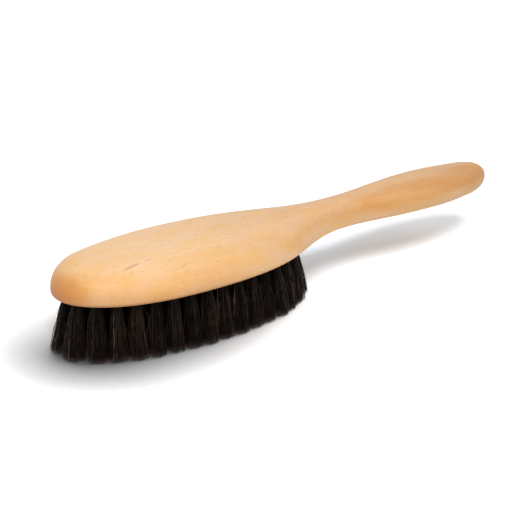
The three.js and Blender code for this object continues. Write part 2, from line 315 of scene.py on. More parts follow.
class StageSettings(PropertyGroup):
    """Where the camera stands, and how bright the lights are."""

    azimuth: FloatProperty(
        name="Azimuth", description="Turn of the camera round the brush", default=math.radians(-38.379),
        subtype="ANGLE",
    )
    elevation: FloatProperty(
        name="Elevation", description="Height of the camera over the floor, as an angle",
        default=math.radians(21.997), subtype="ANGLE",
    )
    roll: FloatProperty(
        name="Roll", description="Turn of the camera round its own axis", default=math.radians(1.046),
        subtype="ANGLE",
    )
    distance: FloatProperty(
        name="Distance", description="From the camera to its target", default=640.84 * MM, unit="LENGTH",
    )
    lens: FloatProperty(name="Focal length", description="Focal length in millimetres", default=97.157)
    target: FloatVectorProperty(
        name="Target", description="The point in the middle of the picture",
        default=(-18.337 * MM, 0, 18.647 * MM), subtype="TRANSLATION", unit="LENGTH",
    )
    ambient: FloatProperty(name="Ambient", description="Strength of the light from all round", default=0.16)
    level: FloatProperty(name="Light level", description="Factor on the light of every lamp", default=1.04)


# Shape of the stock


def mix(pair, share):
    """What lies at a share of the way from the first of a pair to the second."""
    return pair[0] + (pair[1] - pair[0]) * share


def soften(share):
    """A share between 0 and 1, made to leave 0 and reach 1 level."""
    return share**2 * (3 - 2 * share)


def ease(knots, station):
    """Height at each station, easing between knots given in millimetres and level at every knot."""
    at, rise = (np.array(column) * MM for column in zip(*knots))
    station = np.clip(station, at[0], at[-1])
    first = np.clip(np.searchsorted(at, station, side="right") - 1, 0, len(at) - 2)
    share = (station - at[first]) / (at[first + 1] - at[first])
    return mix((rise[first], rise[first + 1]), soften(share))


def plan_curve(station, start, end, reach):
    """Half-width along a Bezier curve that is level at both ends, each of them a station and its width."""
    t = np.linspace(0, 1, CURVE_STEPS)
    weights = np.array(((1 - t) ** 3, 3 * (1 - t) ** 2 * t, 3 * (1 - t) * t**2, t**3))
    run = end[0] - start[0]
    along = np.array((start[0], start[0] + run * reach[0], end[0] - run * reach[1], end[0])) @ weights
    across = np.array((start[1], start[1], end[1], end[1])) @ weights
    return np.interp(station, along, across)


def plan_half_width(station, stock):
    """Half the width of the stock at each station, seen from above."""
    head = (HEAD_STATION, stock.head_width / 2)
    neck = (NECK_STATION, stock.neck_width / 2)
    grip = (GRIP_STATION, stock.grip_width / 2)
    before = np.clip(1 - station / HEAD_STATION, 0, 1)
    past = np.clip((station - GRIP_STATION) / (stock.length - GRIP_STATION), 0, 1)
    return np.select(
        (station < HEAD_STATION, station < NECK_STATION, station < GRIP_STATION),
        (
            head[1] * np.sqrt(1 - before**TOE_POWER),
            plan_curve(station, head, neck, HEAD_TO_NECK),
            plan_curve(station, neck, grip, NECK_TO_GRIP),
        ),
        grip[1] * np.sqrt(1 - past**END_POWER),
    )


def stock_ring(station, side, turn, stock):
    """Points of the stock's surface at one turn: -1 is under the edge, 0 the widest line and 1 the top."""
    spine = np.clip(station, *SPINE)
    share = np.clip((spine - BLEND_TO_HANDLE[0]) / (BLEND_TO_HANDLE[1] - BLEND_TO_HANDLE[0]), 0, 1)
    handled = soften(share)
    low = stock.top - stock.thickness + ease(UNDERSIDE_RISE, spine)
    high = stock.top + ease(TOP_RISE, spine)
    widest = mix((low, high), mix(WIDEST_AT, handled))
    half = plan_half_width(station, stock)
    angle = math.pi / 2 * abs(turn)
    power = 2 / mix(TOP_POWER if turn >= 0 else LOWER_POWER, handled)
    out = max(math.cos(angle), 0) ** power
    rise = math.sin(angle) ** power
    if turn < 0:
        reach = np.maximum(np.hypot(station - spine, half), TINY)
        edge = np.minimum(1, mix((LOWER_EDGE, reach), handled) / reach)
        out = 1 - edge * (1 - out)
        z = widest - (widest - low) * rise
    else:
        z = widest + (high - widest) * rise
    return np.stack((TOE_X + spine + (station - spine) * out, side * half * out, z), axis=1)


def stock_grid(stock):
    """Rings of points over the whole stock, from the middle of its underside to the middle of its top."""
    toe, middle, end = GRID_STATIONS
    under, lower, top = GRID_RINGS
    quarter = np.linspace(0, math.pi / 2, toe, endpoint=False)
    stations = np.concatenate((
        HEAD_STATION * (1 - np.cos(quarter)),
        np.linspace(HEAD_STATION, GRIP_STATION, middle, endpoint=False),
        mix((GRIP_STATION, stock.length), np.sin(np.linspace(0, math.pi / 2, end + 1))),
    ))
    around = np.concatenate((stations, stations[-2:0:-1]))
    side = np.where(np.arange(len(around)) < len(stations), -1.0, 1.0)
    rings = [stock_ring(around, side, turn, stock) for turn in np.linspace(-1, 0, lower, endpoint=False)]
    rings += [stock_ring(around, side, turn, stock) for turn in np.linspace(0, 1, top + 1)]
    middle_line = rings[0].copy()
    middle_line[:, 0] = TOE_X + np.clip(around, *SPINE)
    middle_line[:, 1] = 0
    inward = [mix((middle_line, rings[0]), share) for share in np.linspace(0, 1, under, endpoint=False)]
    return np.array(inward + rings)


# Layout of the tufts


def field_half_width(station, stock):
    """Half the width of the drilled field: the plan, closed by a rounded heel."""
    past = np.clip((station - FIELD_CORNER) / (FIELD_HEEL - FIELD_CORNER), 0, 1)
    inside = (station >= 0) & (station <= FIELD_HEEL)
    return np.where(inside, plan_half_width(station, stock) * np.sqrt(1 - past**HEEL_POWER), 0)


def inset_outline(inset, stock):
    """The field's outline moved inwards, as points from the toe along -Y to the heel and back along +Y."""
    station = np.linspace(0, FIELD_HEEL, OUTLINE_STEPS)
    turns = np.linspace(-math.pi / 2, math.pi / 2, INSET_STEPS)[:, None]
    reach = field_half_width(station + inset * np.sin(turns), stock) - inset * np.cos(turns)
    half = reach.min(axis=0)
    kept = half > 0
    along, half = TOE_X + station[kept], half[kept]
    near = np.stack((along, -half), axis=1)
    far = np.stack((along, half), axis=1)[::-1]
    toe, heel = (along[0], 0), (along[-1], 0)
    return np.concatenate(([toe], near, [heel], far, [toe]))


def ring_of_tufts(outline, first, pitch):
    """Holes in an even number, spaced evenly round an outline, and the direction outwards at each."""
    lengths = np.concatenate(([0], np.cumsum(np.hypot(*np.diff(outline, axis=0).T))))
    around = lengths[-1]
    count = 2 * round(around / pitch / 2)
    travelled = around * (np.arange(count) + first) / count
    roots, ahead, behind = (
        np.stack([np.interp(travelled + step, lengths, line, period=around) for line in outline.T], axis=1)
        for step in (0, MM, -MM)
    )
    along = ahead - behind
    return roots, np.stack((along[:, 1], -along[:, 0]), axis=1) / np.hypot(*along.T)[:, None]


def tuft_rows(stock, tufts):
    """Every row's holes, the direction that points outwards from each, and the lean of its tips."""
    rows = {}
    for name, inset, first, flare in RINGS:
        rows[name] = (*ring_of_tufts(inset_outline(inset, stock), first, tufts.pitch), flare)
    name, start, end = CENTRE_ROW
    count = round((end - start) / tufts.pitch) + 1
    roots = np.stack((TOE_X + np.linspace(start, end, count), np.zeros(count)), axis=1)
    rows[name] = (roots, np.tile((1.0, 0.0), (count, 1)), 0)
    return rows


# Making meshes and pieces


def piece_from(name, points, faces, material):
    """A piece of the brush from points and faces, shaded smooth, which rides on the brush."""
    mesh = bpy.data.meshes.new(name)
    mesh.from_pydata(points, [], faces)
    mesh.validate()
    mesh.shade_smooth()
    piece = bpy.data.objects.new(name, mesh)
    bpy.context.scene.collection.objects.link(piece)
    mesh.materials.append(material)
    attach(piece, "root")
    return piece


def grid_faces(rings, around, first=0):
    """Four-cornered faces between neighbouring rings of a closed tube, numbered from the first point."""
    ring, step = np.meshgrid(np.arange(rings - 1), np.arange(around), indexing="ij")
    a = first + ring * around + step
    b = first + ring * around + (step + 1) % around
    return np.stack((a, b, b + around, a + around), axis=-1).reshape(-1, 4)


def tube_faces(rings, around, first):
    """The faces of a closed tube and of both its ends, numbered from the first point."""
    last = first + (rings - 1) * around
    faces = grid_faces(rings, around, first).tolist()
    faces.append([first + k for k in reversed(range(around))])
    faces.append([last + k for k in range(around)])
    return faces


def merge_points(mesh):
    """Joins points that lie in one place, so that a closed grid becomes a closed body."""
    edit = bmesh.new()
    edit.from_mesh(mesh)
    bmesh.ops.remove_doubles(edit, verts=edit.verts, dist=SAME_PLACE)
    bmesh.ops.recalc_face_normals(edit, faces=edit.faces)
    edit.to_mesh(mesh)
    edit.free()


# Materials


# Settings that many nodes share. A Mix node takes its share at input 0 and two colours at inputs 6 and 7,
# and gives the mixed colour at output 2.
BLEND = {"out": 2, "data_type": "RGBA"}
TINT = {**BLEND, "blend_type": "MULTIPLY"}
SOFT = {"interpolation_type": "SMOOTHSTEP"}
TIMES = {"operation": "MULTIPLY"}


def add_node(tree, kind, inputs=None, out=0, **settings):
    """Adds a shader node, sets or links its inputs by name or number, and returns the output asked for."""
    made = tree.nodes.new("ShaderNode" + kind)
    for name, value in settings.items():
        setattr(made, name, value)
    for socket, value in (inputs or {}).items():
        if isinstance(value, bpy.types.NodeSocket):
            tree.links.new(value, made.inputs[socket])
        else:
            made.inputs[socket].default_value = value
    return made.outputs[out] if made.outputs else None


def new_material(name):
    """An empty node material and its tree."""
    material = bpy.data.materials.new(name)
    material.use_nodes = True
    material.node_tree.nodes.clear()
    return material, material.node_tree


MATERIALS = {}


def shared(maker):
    """The material that a maker makes, made once."""
    name = maker.__name__
    if name not in MATERIALS:
        MATERIALS[name] = maker()
    return MATERIALS[name]


def bare_beech(tree, in_mm):
    """The colour of the wood alone: two shades that drift into each other, and faint lines of late wood."""
    stock = bpy.context.scene.brush_stock

    # The drift takes a centimetre or two along the grain, and less across it.
    slow = add_node(tree, "Mapping", {"Vector": in_mm, "Scale": (1 / 22, 1 / 8, 1 / 8)})
    drift = add_node(
        tree, "TexNoise", {"Vector": slow, "Scale": 1, "Detail": 4, "Roughness": 0.6}, out="Fac"
    )
    drift = add_node(tree, "MapRange", {"Value": drift, "From Min": 0.36, "From Max": 0.64})
    colour = add_node(tree, "Mix", {0: drift, 6: stock.pinkish, 7: stock.yellowish}, **BLEND)

    # The rings stand nearly upright in the stock, because its heart lies far to one side.
    beside = add_node(tree, "Mapping", {"Vector": in_mm, "Location": HEART, "Scale": (0.03, 1, 1)})
    rings = add_node(
        tree, "TexWave",
        {
            "Vector": beside, "Scale": RING_SCALE / RING_SPACING,
            "Distortion": 4, "Detail": 3, "Detail Scale": 0.03,
        },
        out="Fac", wave_type="RINGS", rings_direction="X", wave_profile="SIN",
    )
    late = add_node(tree, "MapRange", {"Value": rings, "From Min": 0.5, "From Max": 1, "To Max": 0.07})
    return add_node(tree, "Mix", {0: late, 6: colour, 7: linear("#D9A068")}, **BLEND)


def with_ray_flecks(tree, colour, in_mm, x_mm, endwise):
    """The wood's colour with its ray flecks, which come in patches and are fewest on the handle.

    They are 1 to 3 mm long and 0.2 mm wide, and are drawn three to five times as wide so that they show.
    End grain has none.
    """
    patch = add_node(
        tree, "Mapping", {"Vector": in_mm, "Location": (3, 5, 7), "Scale": (1 / 16, 1 / 9, 1 / 9)}
    )
    patch = add_node(tree, "TexNoise", {"Vector": patch, "Scale": 1, "Detail": 1}, out="Fac")
    patch = add_node(tree, "MapRange", {"Value": patch, "From Min": 0.36, "From Max": 0.6})
    along_grain = add_node(tree, "MapRange", {"Value": endwise, "From Min": 0.75, "From Max": 0.35})
    on_head = add_node(
        tree, "MapRange", {"Value": x_mm, "From Min": -30, "From Max": 20, "To Min": 1, "To Max": 0.4}
    )
    for share in (along_grain, on_head):
        patch = add_node(tree, "Math", {0: patch, 1: share}, **TIMES)
    for length, width, strength in ((2.0, 0.7, 0.32), (3.2, 1.0, 0.36)):
        cell = add_node(tree, "Mapping", {"Vector": in_mm, "Scale": (1 / length, 1 / width, 1 / width)})
        to_middle = add_node(tree, "TexVoronoi", {"Vector": cell, "Scale": 1}, out="Distance")
        chance = add_node(tree, "TexVoronoi", {"Vector": cell, "Scale": 1}, out="Color")
        chance = add_node(tree, "SeparateColor", {0: chance})
        kept = add_node(
            tree, "MapRange", {"Value": chance, "From Min": 0.75, "From Max": 0.95, "To Max": strength}
        )
        fleck = add_node(tree, "MapRange", {"Value": to_middle, "From Min": 0.5, "From Max": 0.15})
        for share in (kept, patch):
            fleck = add_node(tree, "Math", {0: fleck, 1: share}, **TIMES)
        colour = add_node(tree, "Mix", {0: fleck, 6: colour, 7: linear("#B26A3A")}, **BLEND)
    return colour


def oval_patch(tree, in_mm, station, side, height, half_sizes, turn=0):
    """An oval patch in the wood, from 1 in its middle to 0 at its edge. All its sizes are in mm."""
    inside = add_node(
        tree, "Mapping",
        {
            "Vector": in_mm, "Location": (TOE_X / MM + station, side, height),
            "Rotation": (0, 0, math.radians(turn)), "Scale": half_sizes,
        },
        vector_type="TEXTURE",
    )
    return add_node(tree, "TexGradient", {"Vector": inside}, out="Fac", gradient_type="SPHERICAL")


def with_streaks(tree, colour, in_mm):
    """The wood's colour with a few darker streaks on the front half of the head."""
    for *middle, length, width, turn, strength in STREAKS:
        near = oval_patch(tree, in_mm, *middle, (length, width, STREAK_DEPTH), turn)
        dark = add_node(tree, "MapRange", {"Value": near, "From Max": 0.5, "To Max": strength})
        colour = add_node(tree, "Mix", {0: dark, 6: colour, 7: linear("#B06C1E")}, **BLEND)
    return colour


def with_honey(tree, colour, in_mm, cloud):
    """The wood's colour with honey-coloured wood at the toe, on the head's shoulder and along the grip."""
    for *middle, length, width, thickness, strength in HONEY:
        near = oval_patch(tree, in_mm, *middle, (length, width, thickness))
        warm = add_node(tree, "MapRange", {"Value": near, "From Max": 0.7, "To Max": strength}, **SOFT)
        warm = add_node(tree, "Math", {0: warm, 1: cloud}, **TIMES)
        colour = add_node(tree, "Mix", {0: warm, 6: colour, 7: linear("#F2E0B2")}, **TINT)
    return colour


def with_oil_use_and_painted_light(tree, colour, cloud, x_mm, upwards, endwise):
    """The wood's colour after oil and use, which have darkened some parts of it more than others, with
    painted shade under the head and a painted sheen that leaves its top paler than its sides.
    """
    # The hand has darkened it more and more towards the handle, in soft clouds, and least underneath.
    handled = add_node(tree, "MapRange", {"Value": x_mm, "From Min": -95, "From Max": 30}, **SOFT)
    touched = add_node(
        tree, "MapRange", {"Value": upwards, "From Min": -0.3, "From Max": 0.5, "To Min": 0.1}
    )
    for share in (cloud, touched):
        handled = add_node(tree, "Math", {0: handled, 1: share}, **TIMES)

    # The palm has darkened the last part of the grip once more.
    palmed = add_node(
        tree, "MapRange", {"Value": x_mm, "From Min": 60, "From Max": 125, "To Max": 0.8}, **SOFT
    )

    # The head's sides and its underside are painted warmer and darker than its top, most of all round the
    # toe. This is partly the warmer tone that the oil gives the wood there, and partly painted sheen: the
    # pale reflection of white surroundings is left on the top alone. The underside is darker still, which is
    # painted shade.
    oiled = add_node(
        tree, "MapRange", {"Value": x_mm, "From Min": -75, "From Max": -25, "To Min": 1, "To Max": 0.15},
        **SOFT,
    )
    warm_sides_and_sheen = add_node(tree, "MapRange", {"Value": upwards, "From Min": 0.97, "From Max": 0.62}, **SOFT)
    warm_sides_and_sheen = add_node(tree, "Math", {0: warm_sides_and_sheen, 1: oiled}, **TIMES)
    # Painted shade, darker where the surface faces down
    under = add_node(tree, "MapRange", {"Value": upwards, "From Min": 0.3, "From Max": -0.3})
    under = add_node(tree, "Math", {0: under, 1: oiled}, **TIMES)

    # End grain drinks the most, so the toe and the end of the handle are darker and more orange.
    ends = add_node(tree, "MapRange", {"Value": endwise, "From Min": 0.6, "From Max": 1, "To Max": 0.6})

    # The tint on the sides is partly painted sheen, and the tint underneath is painted shade
    tints = (
        (handled, "#E6DDD6"),
        (palmed, "#E4DDD6"),
        (warm_sides_and_sheen, "#FAECD6"),
        (under, "#E2D8D2"),
        (ends, "#E3B077"),
    )
    for share, tint in tints:
        colour = add_node(tree, "Mix", {0: share, 6: colour, 7: linear(tint)}, **TINT)
    return colour


def oiled_beech():
    """Beech, shaped, fine-sanded and oiled. The eye sees a pale, even wood with a satin gleam, faint growth
    rings, short brown ray flecks along the grain, and a warmer honey colour at the toe and on the grip."""
    material, tree = new_material("oiled_beech")
    place = add_node(tree, "TexCoord", out="Object")
    in_mm = add_node(tree, "VectorMath", {0: place, "Scale": 1 / MM}, operation="SCALE")
    x_mm = add_node(tree, "SeparateXYZ", {0: in_mm}, out="X")
    facing = add_node(tree, "TexCoord", out="Normal")
    upwards = add_node(tree, "SeparateXYZ", {0: facing}, out="Z")
    endwise = add_node(tree, "SeparateXYZ", {0: facing}, out="X")
    endwise = add_node(tree, "Math", {0: endwise}, operation="ABSOLUTE")
    cloud = add_node(tree, "Mapping", {"Vector": in_mm, "Scale": (1 / 30, 1 / 10, 1 / 10)})
    cloud = add_node(tree, "TexNoise", {"Vector": cloud, "Scale": 1, "Detail": 2}, out="Fac")
    cloud = add_node(
        tree, "MapRange", {"Value": cloud, "From Min": 0.3, "From Max": 0.7, "To Min": 0.75, "To Max": 1.15}
    )

    # Fibres run along the grain. They are 0.1 mm wide, and drawn 0.6 mm wide so that they show.
    fibres = add_node(tree, "Mapping", {"Vector": in_mm, "Scale": (1 / 3.5, 1 / 0.6, 1 / 0.6)})
    fibres = add_node(
        tree, "TexNoise", {"Vector": fibres, "Scale": 1, "Detail": 3, "Roughness": 0.6}, out="Fac"
    )
    streak = add_node(
        tree, "MapRange", {"Value": fibres, "From Min": 0.45, "From Max": 0.75, "To Max": 0.26}
    )

    colour = bare_beech(tree, in_mm)
    colour = add_node(tree, "Mix", {0: streak, 6: colour, 7: linear("#CE9A62")}, **BLEND)
    colour = with_ray_flecks(tree, colour, in_mm, x_mm, endwise)
    colour = with_streaks(tree, colour, in_mm)
    colour = with_honey(tree, colour, in_mm, cloud)
    colour = with_oil_use_and_painted_light(tree, colour, cloud, x_mm, upwards, endwise)
    gloss = add_node(tree, "MapRange", {"Value": fibres, "To Min": 0.42, "To Max": 0.54})
    grain = add_node(tree, "Bump", {"Height": fibres, "Strength": 0.3, "Distance": 0.05 * MM})
    wood = add_node(tree, "BsdfPrincipled", {"Base Color": colour, "Roughness": gloss, "Normal": grain})
    add_node(tree, "OutputMaterial", {"Surface": wood})
    return material


def natural_black_bristle():
    """Natural bristle, washed, sorted and trimmed. The eye sees nearly black hair with the faint gloss of
    hair, streaked by brown hairs, a few pale ones and painted glints, and redder and duller towards the cut
    tips."""
    tufts = bpy.context.scene.brush_tufts
    material, tree = new_material("natural_black_bristle")
    tone = add_node(tree, "Attribute", out="Fac", attribute_name="tone")
    tipward = add_node(tree, "Attribute", out="Fac", attribute_name="tipward")

    # Painted glints: the hairs' colour lightens and darkens in lengths of about 5 mm, where real hairs cross
    # and twist and catch the light. A hair is thinner than the 0.4 mm of this pattern, which is that coarse
    # so that it shows.
    in_mm = add_node(tree, "TexCoord", out="Object")
    in_mm = add_node(tree, "VectorMath", {0: in_mm, "Scale": 1 / MM}, operation="SCALE")
    painted_glint = add_node(tree, "Mapping", {"Vector": in_mm, "Scale": (1 / 0.4, 1 / 0.4, 1 / 5)})
    painted_glint = add_node(tree, "TexNoise", {"Vector": painted_glint, "Scale": 1, "Detail": 1}, out="Fac")
    painted_glint = add_node(
        tree, "MapRange",
        {"Value": painted_glint, "From Min": 0.35, "From Max": 0.65, "To Min": -0.25, "To Max": 0.25},
    )
    glinting_tone = add_node(tree, "Math", {0: tone, 1: painted_glint}, operation="ADD")

    brown = add_node(tree, "MapRange", {"Value": glinting_tone, "From Min": 0.58, "From Max": 1})
    hair = add_node(tree, "Mix", {0: brown, 6: tufts.black, 7: tufts.brown}, **BLEND)
    pale = add_node(tree, "MapRange", {"Value": tone, "From Min": 1, "From Max": PALE_TONE})
    worn = add_node(tree, "MapRange", {"Value": tipward, "From Min": 0.5, "From Max": 1, "To Max": 0.3})
    cut = add_node(tree, "MapRange", {"Value": tipward, "From Min": 0.94, "From Max": 1, "To Max": 0.5})
    for share, colour in ((pale, "#908076"), (worn, "#34241D"), (cut, "#7A5D52")):
        hair = add_node(tree, "Mix", {0: share, 6: hair, 7: linear(colour)}, **BLEND)
    dull = add_node(tree, "MapRange", {"Value": tipward, "To Min": 0.42, "To Max": 0.55})
    bristle = add_node(
        tree, "BsdfPrincipled", {"Base Color": hair, "Roughness": dull, "Specular IOR Level": 0.1}
    )
    add_node(tree, "OutputMaterial", {"Surface": bristle})
    return material


def rolled_steel_wire():
    """Tinned steel wire, rolled flat and cut: bright grey, with the scratches that the rolls leave along it.
    They lie an eighth of a millimetre apart, which is coarser than real ones, so that they show."""
    material, tree = new_material("rolled_steel_wire")
    place = add_node(tree, "TexCoord", out="Object")
    scratch = add_node(tree, "Mapping", {"Vector": place, "Scale": (1 / MM, 1 / MM, 8 / MM)})
    scratch = add_node(tree, "TexNoise", {"Vector": scratch, "Scale": 1, "Detail": 3}, out="Fac")
    shine = add_node(tree, "MapRange", {"Value": scratch, "To Min": 0.25, "To Max": 0.45})
    shade = add_node(tree, "Mix", {0: scratch, 6: linear("#A8A59F"), 7: linear("#CCC9C2")}, **BLEND)
    wire = add_node(tree, "BsdfPrincipled", {"Base Color": shade, "Metallic": 1, "Roughness": shine})
    add_node(tree, "OutputMaterial", {"Surface": wire})
    return material


def seamless_white_paper():
    """Seamless paper, rolled out, matt white. The camera sees it at full white, apart from the shadows that
    the lamps cast and a painted shade, which is deepest close to the bristles."""
    material, tree = new_material("seamless_white_paper")
    azimuth, elevation = SHADE_SIDE
    towards = Vector((math.cos(azimuth), math.sin(azimuth), math.tan(elevation))).normalized()
    towards = add_node(tree, "CombineXYZ", dict(zip("XYZ", towards)))
    # Painted shade: the paper's colour darkens where the brush hides the nearby sky
    open_sky = add_node(
        tree, "AmbientOcclusion", {"Distance": SHADE_REACH, "Normal": towards}, out="AO", samples=16
    )
    place = add_node(tree, "TexCoord", out="Object")
    x = add_node(tree, "SeparateXYZ", {0: place}, out="X")
    gone = add_node(
        tree, "MapRange",
        {
            "Value": x, "From Min": SHADE_CHANGES[0], "From Max": SHADE_CHANGES[1],
            "To Min": SHADE_GONE[0], "To Max": SHADE_GONE[1],
        },
    )
    open_sky = add_node(tree, "MapRange", {"Value": open_sky, "From Min": SHADE_FULL, "From Max": gone})
    shaded = add_node(tree, "Mix", {0: open_sky, 6: linear(SHADE_COLOUR), 7: linear("#FFFFFF")}, **BLEND)

    gain = HEAD_GAIN
    for start, end, next_gain in zip(GAIN_CHANGES, GAIN_CHANGES[1:], (NECK_GAIN, GRIP_GAIN)):
        share = add_node(tree, "MapRange", {"Value": x, "From Min": start, "From Max": end})
        gain = add_node(tree, "Mix", {0: share, 6: gain, 7: next_gain}, **BLEND)
    shaded = add_node(tree, "VectorMath", {0: shaded, 1: gain}, **TIMES)
    seen = add_node(tree, "LightPath", out="Is Camera Ray")
    white = add_node(tree, "Mix", {0: seen, 6: linear("#F7F7F7"), 7: shaded}, **BLEND)
    paper = add_node(tree, "BsdfDiffuse", {"Color": white})
    add_node(tree, "OutputMaterial", {"Surface": paper})
    return material


# Pieces


def drill_bits(rows, stock):
    """One mesh of drill bits, a bit for each tuft."""
    angle = np.linspace(0, 2 * math.pi, DRILL_SIDES, endpoint=False)
    circle = np.stack((np.cos(angle), np.sin(angle)), axis=1) * stock.hole_radius
    underside = stock.top - stock.thickness
    floor = underside + stock.hole_depth
    heights = (underside - DRILL_START, floor - DRILL_POINT * stock.hole_radius, floor)
    points, faces = [], []
    for roots, _, _ in rows.values():
        for root in roots:
            faces += tube_faces(len(heights), DRILL_SIDES, len(points))
            for z, span in zip(heights, (1, 1, DRILL_FLAT)):
                points += [(*(root + span * corner), z) for corner in circle]
    mesh = bpy.data.meshes.new("drill_bits")
    mesh.from_pydata(points, [], faces)
    bits = bpy.data.objects.new("drill_bits", mesh)
    bpy.context.scene.collection.objects.link(bits)
    return bits


class CLOTHESBRUSH_OT_shape_stock(Operator):
    """Shape the beech stock and drill its tuft holes"""

    bl_idname = "clothes_brush.shape_stock"
    bl_label = "Shape the Stock"

    def execute(self, context):
        stock = context.scene.brush_stock
        grid = stock_grid(stock)
        rings, around = grid.shape[:2]
        faces = grid_faces(rings, around).tolist()
        piece = piece_from("beech_stock", grid.reshape(-1, 3).tolist(), faces, shared(oiled_beech))
        merge_points(piece.data)
        bits = drill_bits(tuft_rows(stock, context.scene.brush_tufts), stock)
        drill = piece.modifiers.new("drill", "BOOLEAN")
        drill.operation = "DIFFERENCE"
        drill.solver = "EXACT"
        drill.object = bits
        context.view_layer.objects.active = piece
        bpy.ops.object.modifier_apply(modifier=drill.name)
        bpy.data.objects.remove(bits)
        if not piece.data.polygons:
            raise RuntimeError("the stock was lost when its holes were drilled")
        piece.data.shade_smooth()
        piece.data.set_sharp_from_angle(angle=SHARP_EDGE)
        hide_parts("stock")
        return {"FINISHED"}


def tuft_hairs(root, outwards, lean, spacing, count, stock, tufts, random):
    """Paths of a tuft's hairs, as hairs x points x 3, from over the anchor to the tips, and their tones."""
    order = np.arange(count) + 0.5
    turn = order * GOLDEN_ANGLE + random.uniform(0, 2 * math.pi)
    disc = np.stack((np.cos(turn), np.sin(turn)), axis=1) * ((order / count) ** RIM_CROWDING)[:, None]

    # Hairs gather into locks, and some stray, so that a tuft is streaked and slightly ragged.
    across = np.array((-outwards[1], outwards[0]))
    axes = np.stack((outwards, across))
    place = disc @ axes.T
    reach = np.hypot(*place.T)
    locks = random.uniform(-1, 1, (LOCKS, 2))
    lock = np.argmin(((place[:, None] - locks) ** 2).sum(axis=2), axis=1)
    place += GATHERING * (locks[lock] - place) + random.normal(0, SCATTER, (count, 2))
    stray = random.random(count) < STRAYS
    place[stray] *= random.uniform(*STRAY_SPREAD, (stray.sum(), 1))
    spread = (place * (tufts.fan, spacing * tufts.overlap)) @ axes
    spread *= random.uniform(*TUFT_SPREAD)
    tip = root + outwards * lean + random.normal(0, TUFT_SHIFT, 2) + spread
    short = RIM_SHORT * reach**2 + np.abs(random.normal(0, HAIR_SHORT, count))
    short += random.uniform(0, TUFT_SHORT)
    short += np.abs(random.normal(0, LOCK_SHORT, LOCKS))[lock]
    short[stray] += random.uniform(0, STRAY_SHORT, stray.sum())

    # In the hole the hairs stand on both sides of the anchor, and over it they meet in the fold.
    inside = stock.hole_radius - tufts.hair_root
    underside = stock.top - stock.thickness
    out = disc @ outwards
    parted = np.sign(out) * np.maximum(np.abs(out), PARTING)
    crown = root + (disc @ across)[:, None] * across * inside
    mouth = crown + parted[:, None] * outwards * inside
    points = [
        np.column_stack((crown, np.full(count, ANCHOR_HIGH.z + FOLD_RISE))),
        np.column_stack((mouth, np.full(count, ANCHOR_LOW.z))),
        np.column_stack((mouth, np.full(count, underside))),
    ]

    # Under the wood they spread out to their tips, each on a slightly wavy course.
    wander = random.normal(0, WANDER, (count, 2))
    wander[stray] *= STRAY_WANDER
    wave = random.normal(0, WAVE, (count, 2))
    for share in BENDS:
        middle = mouth + (tip - mouth) * share * (1 + BOW * (1 - share))
        middle += wander * math.sin(math.pi * share) + wave * math.sin(2 * math.pi * share)
        points.append(np.column_stack((middle, underside * (1 - share) + short * share)))
    tones = OWN_TONE * random.random(count) + (1 - OWN_TONE) * random.random(LOCKS)[lock]
    tones[stray] = 1
    tones[random.random(count) < PALE_HAIRS] = PALE_TONE
    return np.stack(points, axis=1), tones


def hair_mesh(name, paths, tones, tufts):
    """A piece of many thin hairs, whose points know their hair's tone and how near its tip they are."""
    hairs, rings = paths.shape[:2]
    turn = np.arange(HAIR_SIDES) * 2 * math.pi / HAIR_SIDES
    corner = np.stack((np.cos(turn), np.sin(turn), np.zeros(HAIR_SIDES)), axis=1)
    along = np.clip((np.arange(rings) - POINTS_IN_HOLE) / (rings - 1 - POINTS_IN_HOLE), 0, 1)
    radius = mix((tufts.hair_root, tufts.hair_tip), along) / 2
    points = paths[:, :, None, :] + corner * radius[None, :, None, None]
    per_hair = rings * HAIR_SIDES
    start = (np.arange(hairs) * per_hair)[:, None, None]
    quads = (start + grid_faces(rings, HAIR_SIDES)[:, ::-1]).reshape(-1, 4)
    tips = start[:, :, 0] + per_hair - np.arange(1, HAIR_SIDES + 1)
    tops = start[:, :, 0] + np.arange(HAIR_SIDES)
    faces = quads.tolist() + tips.tolist() + tops.tolist()
    bristle = shared(natural_black_bristle)
    piece = piece_from(name, points.reshape(-1, 3).tolist(), faces, bristle)
    attributes = {
        "tone": np.repeat(tones, per_hair),
        "tipward": np.tile(np.repeat(along, HAIR_SIDES), hairs),
    }
    for attribute, values in attributes.items():
        layer = piece.data.attributes.new(attribute, "FLOAT", "POINT")
        layer.data.foreach_set("value", values.astype(np.float32))
    return piece


def leans_and_spacings(name, roots, outwards, flare, tufts):
    """How far each tuft of a row leans outwards, and how much of the row its tips have for themselves."""
    if name == CENTRE_ROW[0]:
        return np.zeros(len(roots)), np.full(len(roots), tufts.pitch)
    leans = flare + END_LEAN * outwards[:, 0] ** 2
    tips = roots + outwards * leans[:, None]
    gaps = np.hypot(*(tips - np.roll(tips, 1, axis=0)).T)
    return leans, (gaps + np.roll(gaps, -1)) / 2


